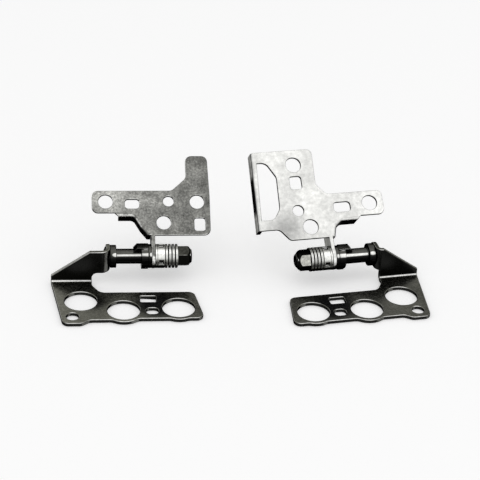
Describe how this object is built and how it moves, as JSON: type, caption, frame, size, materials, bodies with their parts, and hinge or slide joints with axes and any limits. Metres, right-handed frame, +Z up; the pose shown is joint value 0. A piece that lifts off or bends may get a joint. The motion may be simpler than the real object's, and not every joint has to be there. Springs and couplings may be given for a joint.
{
  "type": "pair of laptop hinges",
  "caption": "Mirrored pair of friction hinges: flat base brackets with a bent wall, a loaded shaft with disc springs, and leaning screen brackets.",
  "frame": {"origin": "centre of the left base bracket's middle screw hole, at the underside of the plate", "axes": "+X along the left pivot shaft towards the right hinge, +Y to the back, +Z up; the right hinge stands turned 8.2 degrees about Z, as in the picture"},
  "size_m": [0.0909, 0.0405, 0.026],
  "materials": {
    "base_black_nickel": "satin black nickel plate",
    "shaft_steel": "polished dark steel, oiled",
    "spring_steel": "bright ground spring steel",
    "nut_black": "black oxide",
    "left_screen_nickel": "mottled satin nickel plate",
    "right_screen_nickel": "mottled satin nickel plate"
  },
  "bodies": {
    "hinge_bases": {"left_base_bracket": "base_black_nickel", "left_pivot_shaft": "shaft_steel", "left_stop_plate": "shaft_steel", "left_wear_washer": "shaft_steel", "left_friction_washer": "spring_steel", "left_cam_washer": "spring_steel", "left_disc_spring_1": "spring_steel", "left_disc_spring_2": "spring_steel", "left_disc_spring_3": "spring_steel", "left_disc_spring_4": "spring_steel", "left_disc_spring_5": "spring_steel", "left_disc_spring_6": "spring_steel", "left_disc_spring_7": "spring_steel", "left_disc_spring_8": "spring_steel", "left_lock_nut": "nut_black", "right_base_bracket": "base_black_nickel", "right_pivot_shaft": "shaft_steel", "right_stop_plate": "shaft_steel", "right_wear_washer": "shaft_steel", "right_friction_washer": "spring_steel", "right_cam_washer": "spring_steel", "right_disc_spring_1": "spring_steel", "right_disc_spring_2": "spring_steel", "right_disc_spring_3": "spring_steel", "right_disc_spring_4": "spring_steel", "right_disc_spring_5": "spring_steel", "right_disc_spring_6": "spring_steel", "right_disc_spring_7": "spring_steel", "right_disc_spring_8": "spring_steel", "right_lock_nut": "nut_black"},
    "left_screen": {"left_screen_bracket": "left_screen_nickel"},
    "right_screen": {"right_screen_bracket": "right_screen_nickel"}
  },
  "joints": [
    {"name": "left_lid_turn", "type": "hinge", "parent": "hinge_bases", "child": "left_screen", "pos_m": [0, 0.0156, 0.00615], "axis": [1, 0, 0], "range_deg": [-5, 140]},
    {"name": "right_lid_turn", "type": "hinge", "parent": "hinge_bases", "child": "right_screen", "pos_m": [0.05647, 0.01494, 0.00615], "axis": [0.9898, 0.1426, 0], "range_deg": [-5, 140]}
  ]
}
